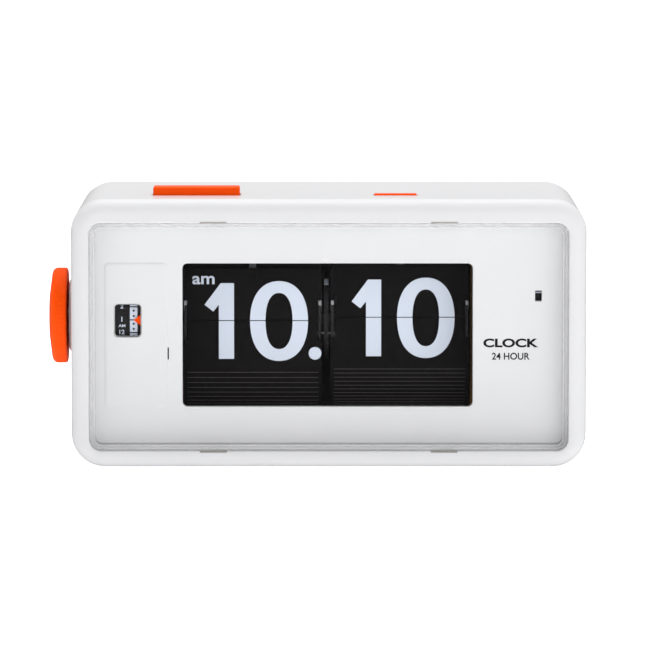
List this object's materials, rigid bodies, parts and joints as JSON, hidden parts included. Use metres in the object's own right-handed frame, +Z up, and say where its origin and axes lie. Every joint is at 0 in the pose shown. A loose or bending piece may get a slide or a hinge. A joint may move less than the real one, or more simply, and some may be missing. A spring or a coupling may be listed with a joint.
{
  "type": "flip number clock",
  "caption": "Table clock with split-leaf hour and minute displays, an alarm-time drum with side knob, two top buttons and a gear train in a rounded case.",
  "frame": {"origin": "middle of the box's underside, on the table", "axes": "+X to the clock's right as it is read, +Y to its back, +Z up"},
  "size_m": [0.194, 0.092, 0.0999],
  "materials": {
    "white_shell": "satin gloss, moulded",
    "white_face": "fine matt",
    "clear_lens": "clear, polished",
    "lamp": "clear",
    "orange_plastic": "satin, moulded",
    "leaf_black": "satin sheet with printed pale numerals",
    "black_plastic": "matt",
    "disc_grey": "matt",
    "amber_plastic": "moulded, slightly clear",
    "steel": "bright drawn",
    "battery_jacket": "plain printed jacket, no maker",
    "brass": "cut",
    "nylon": "moulded",
    "board_green": "solder-masked board",
    "foot_rubber": "soft"
  },
  "bodies": {
    "clock_case": {"alarm_bracket_left": "white_shell", "alarm_bracket_right": "white_shell", "alarm_button_spring": "steel", "alarm_pointer": "orange_plastic", "alarm_sounder": "black_plastic", "battery_cell": "battery_jacket", "battery_contact_minus": "steel", "battery_contact_plus": "steel", "case_housing": "white_shell", "circuit_board": "board_green", "cover_screw_1": "steel", "cover_screw_2": "steel", "cover_screw_3": "steel", "cover_screw_4": "steel", "display_lamp": "lamp", "drum_axle": "steel", "face_plate": "white_face", "foot_1": "foot_rubber", "foot_2": "foot_rubber", "foot_3": "foot_rubber", "foot_4": "foot_rubber", "frame_left": "amber_plastic", "frame_rear_bar": "amber_plastic", "frame_right": "amber_plastic", "frame_shelf": "amber_plastic", "front_lens": "clear_lens", "hour_leaf_catch": "steel", "hour_leaves_fallen": "leaf_black", "hour_leaves_upper": "leaf_black", "light_button_spring": "steel", "minute_leaf_catch": "steel", "minute_leaves_fallen": "leaf_black", "minute_leaves_upper": "leaf_black", "quartz_motor": "black_plastic", "rear_cover": "white_shell"},
    "minute_drum": {"minute_disc_left": "disc_grey", "minute_disc_right": "disc_grey", "minute_barrel": "black_plastic", "minute_gear": "brass"},
    "hour_drum": {"hour_disc_left": "disc_grey", "hour_disc_right": "disc_grey", "hour_barrel": "black_plastic", "hour_gear": "nylon"},
    "counter_gears": {"counter_wheel": "nylon", "counter_pinion": "brass", "counter_shaft": "steel"},
    "motor_drive": {"motor_pinion": "brass"},
    "time_set": {"time_set_pinion": "brass", "time_set_wheel": "black_plastic"},
    "seconds": {"seconds_wheel": "black_plastic"},
    "hour_leaf": {"hour_leaf_standing": "leaf_black"},
    "minute_leaf": {"minute_leaf_standing": "leaf_black"},
    "alarm_time_knob": {"alarm_knob": "orange_plastic", "alarm_shaft": "steel", "alarm_drum": "black_plastic"},
    "alarm_press": {"alarm_button": "orange_plastic"},
    "light_press": {"light_button": "orange_plastic"},
    "alarm_slider": {"alarm_flag": "black_plastic", "alarm_switch": "black_plastic"},
    "battery_cover": {"battery_door": "white_shell"}
  },
  "joints": [
    {"name": "minute_drum_turn", "type": "hinge", "parent": "clock_case", "child": "minute_drum", "pos_m": [0, -0.0075, 0.0514], "axis": [1, 0, 0], "continuous": true},
    {"name": "hour_drum_turn", "type": "hinge", "parent": "clock_case", "child": "hour_drum", "pos_m": [0, -0.0075, 0.0514], "axis": [1, 0, 0], "continuous": true},
    {"name": "counter_gears_turn", "type": "hinge", "parent": "clock_case", "child": "counter_gears", "pos_m": [0, 0.0135, 0.0514], "axis": [1, 0, 0], "continuous": true},
    {"name": "motor_drive_turn", "type": "hinge", "parent": "clock_case", "child": "motor_drive", "pos_m": [0, 0.0135, 0.0304], "axis": [1, 0, 0], "continuous": true},
    {"name": "time_set_turn", "type": "hinge", "parent": "clock_case", "child": "time_set", "pos_m": [0, 0.033, 0.05919], "axis": [1, 0, 0], "continuous": true},
    {"name": "seconds_wheel_turn", "type": "hinge", "parent": "clock_case", "child": "seconds", "pos_m": [0, -0.0075, 0.0514], "axis": [1, 0, 0], "continuous": true},
    {"name": "hour_leaf_fall", "type": "hinge", "parent": "clock_case", "child": "hour_leaf", "pos_m": [0, -0.0225, 0.0514], "axis": [1, 0, 0], "range_deg": [0, 178]},
    {"name": "minute_leaf_fall", "type": "hinge", "parent": "clock_case", "child": "minute_leaf", "pos_m": [0, -0.02245, 0.0526], "axis": [1, 0, 0], "range_deg": [0, 178]},
    {"name": "alarm_time_turn", "type": "hinge", "parent": "clock_case", "child": "alarm_time_knob", "pos_m": [0, -0.0164, 0.0528], "axis": [1, 0, 0], "continuous": true},
    {"name": "alarm_button_press", "type": "slide", "parent": "clock_case", "child": "alarm_press", "axis": [0, 0, -1], "range_m": [0, 0.0025], "stiffness_N_per_m": 250, "deforming": ["alarm_button_spring"]},
    {"name": "light_button_press", "type": "slide", "parent": "clock_case", "child": "light_press", "axis": [0, 0, -1], "range_m": [0, 0.001], "stiffness_N_per_m": 250, "deforming": ["light_button_spring"]},
    {"name": "alarm_switch_slide", "type": "slide", "parent": "clock_case", "child": "alarm_slider", "axis": [0, 0, 1], "range_m": [0, 0.004]},
    {"name": "battery_door_out", "type": "slide", "parent": "clock_case", "child": "battery_cover", "axis": [0, 1, 0], "range_m": [0, 0.03]}
  ],
  "couplings": [
    {"joint": "counter_gears_turn", "follows": "minute_drum_turn", "ratio": -0.25},
    {"joint": "hour_drum_turn", "follows": "minute_drum_turn", "ratio": 0.041667},
    {"joint": "motor_drive_turn", "follows": "minute_drum_turn", "ratio": 1},
    {"joint": "time_set_turn", "follows": "minute_drum_turn", "ratio": 1}
  ]
}
